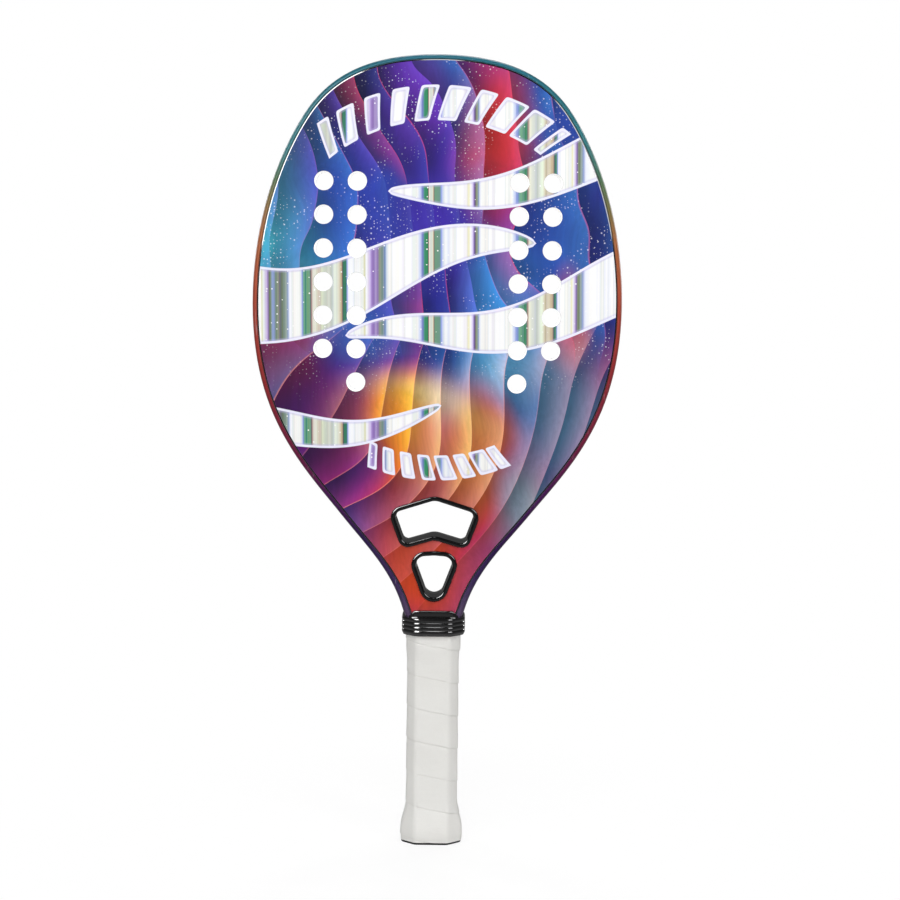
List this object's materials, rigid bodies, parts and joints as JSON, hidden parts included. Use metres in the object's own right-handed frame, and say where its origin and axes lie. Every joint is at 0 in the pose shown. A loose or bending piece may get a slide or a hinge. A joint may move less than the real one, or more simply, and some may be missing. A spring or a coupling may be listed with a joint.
{
  "type": "beach tennis racket",
  "caption": "Foam-cored beach tennis racket with a hollow frame tube, drilled faces, two lined throat openings and an eight-sided handle wound with overgrip.",
  "frame": {"origin": "on the racket's long axis, in the plane of the butt cap's flat end", "axes": "+Z from the butt to the top of the head, -Y out of the front face, X across the head"},
  "size_m": [0.2322, 0.036, 0.5],
  "materials": {
    "frame_lacquer": "clear-lacquered fibre tube whose colour fades from teal to red-brown and purple",
    "white_foam": "smooth closed-cell foam",
    "front_print": null,
    "back_print": null,
    "gloss_black": "high gloss",
    "handle_foam": "moulded hard foam",
    "black_plastic": "satin moulding",
    "staple_wire": "galvanised wire",
    "base_grip_rubber": "matt cushioned grip",
    "white_overgrip": "matt tacky tape",
    "black_tape": "satin tape",
    "black_rubber": "glossy ribbed rubber"
  },
  "bodies": {
    "root": {"frame_tube": "frame_lacquer", "foam_core": "white_foam", "front_face_sheet": "front_print", "back_face_sheet": "back_print", "upper_throat_liner_front": "gloss_black", "upper_throat_liner_back": "gloss_black", "lower_throat_liner_front": "gloss_black", "lower_throat_liner_back": "gloss_black", "handle_half_left": "handle_foam", "handle_half_right": "handle_foam", "butt_cap": "black_plastic", "cap_staple_front": "staple_wire", "cap_staple_right": "staple_wire", "cap_staple_back": "staple_wire", "cap_staple_left": "staple_wire", "base_grip": "base_grip_rubber", "overgrip": "white_overgrip", "finishing_tape": "black_tape", "grip_collar": "black_rubber"}
  },
  "joints": []
}
